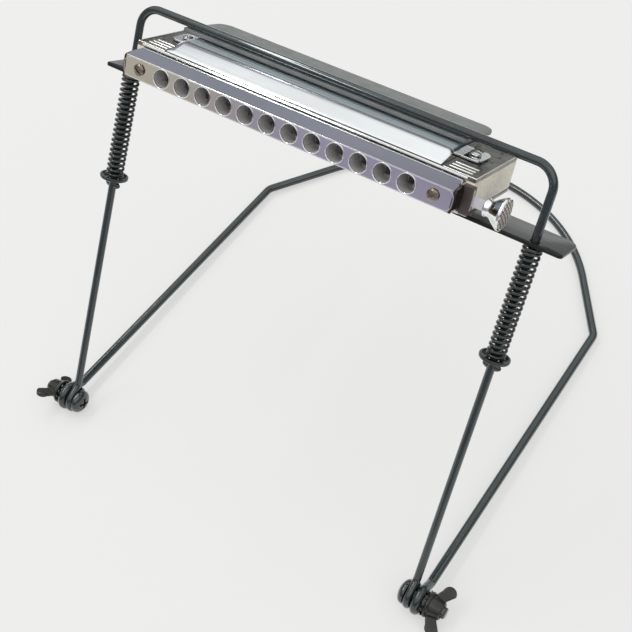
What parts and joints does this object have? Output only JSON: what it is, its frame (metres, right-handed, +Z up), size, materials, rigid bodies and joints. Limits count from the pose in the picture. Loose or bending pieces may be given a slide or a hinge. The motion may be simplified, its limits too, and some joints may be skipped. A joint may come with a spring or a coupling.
{
  "type": "harmonica holder",
  "caption": "Wire neck yoke and hinged wire front frame with wing-nut bolts and a spring-loaded jaw that clamps a chromatic harmonica with a slide button.",
  "frame": {"origin": "on the table, under the middle of the holder's bounding box", "axes": "+Z up from the table, +X along the hinge axis to the harmonica's button end, +Y from the hinge towards the neck loop"},
  "size_m": [0.207, 0.2352, 0.1631],
  "materials": {
    "enamel": "glossy black enamel with a green-blue cast",
    "grey_enamel": "matte grey enamel",
    "black_steel": "glossy black coating",
    "chrome": "polished chrome plate",
    "reed_brass": "dull dark brass",
    "comb": "cream moulding"
  },
  "bodies": {
    "yoke": {"neck_yoke": "enamel", "hinge_bolt_left": "black_steel", "hinge_bolt_right": "black_steel", "lock_washer_left": "black_steel", "lock_washer_right": "black_steel"},
    "frame": {"front_frame": "enamel", "upper_jaw_strip": "grey_enamel", "spring_cup_left": "black_steel", "spring_cup_right": "black_steel", "spring_left": "black_steel", "spring_right": "black_steel"},
    "jaw": {"lower_jaw": "black_steel"},
    "harmonica": {"comb": "comb", "upper_reed_plate": "reed_brass", "lower_reed_plate": "reed_brass", "upper_cover": "chrome", "lower_cover": "chrome", "mouthpiece": "chrome", "slide_channel": "chrome", "mouthpiece_screw_left": "chrome", "mouthpiece_screw_right": "chrome", "upper_cover_screw_left": "chrome", "upper_cover_screw_right": "chrome", "lower_cover_screw_left": "chrome", "lower_cover_screw_right": "chrome"},
    "slide": {"slide": "chrome", "slide_button": "chrome"},
    "wing_nut_left": {"wing_nut_left": "black_steel"},
    "wing_nut_right": {"wing_nut_right": "black_steel"}
  },
  "joints": [
    {"name": "frame_fold", "type": "hinge", "parent": "yoke", "child": "frame", "pos_m": [0, -0.10779, 0.0063], "axis": [1, 0, 0], "range_deg": [-50, 115]},
    {"name": "jaw_slide", "type": "slide", "parent": "frame", "child": "jaw", "axis": [0, 0.4997, 0.8662], "range_m": [-0.012, 0], "stiffness_N_per_m": 1600, "springref_m": 0.02, "deforming": ["spring_left", "spring_right"]},
    {"name": "harmonica_pull", "type": "slide", "parent": "jaw", "child": "harmonica", "axis": [0, -0.8662, 0.4997], "range_m": [0, 0.06]},
    {"name": "slide_press", "type": "slide", "parent": "harmonica", "child": "slide", "axis": [1, 0, 0], "range_m": [-0.0045, 0], "stiffness_N_per_m": 150, "springref_m": 0.015},
    {"name": "wing_nut_left_turn", "type": "hinge", "parent": "yoke", "child": "wing_nut_left", "pos_m": [-0.099, -0.10779, 0.0063], "axis": [-1, 0, 0], "continuous": true},
    {"name": "wing_nut_right_turn", "type": "hinge", "parent": "yoke", "child": "wing_nut_right", "pos_m": [0.099, -0.10779, 0.0063], "axis": [1, 0, 0], "continuous": true}
  ]
}
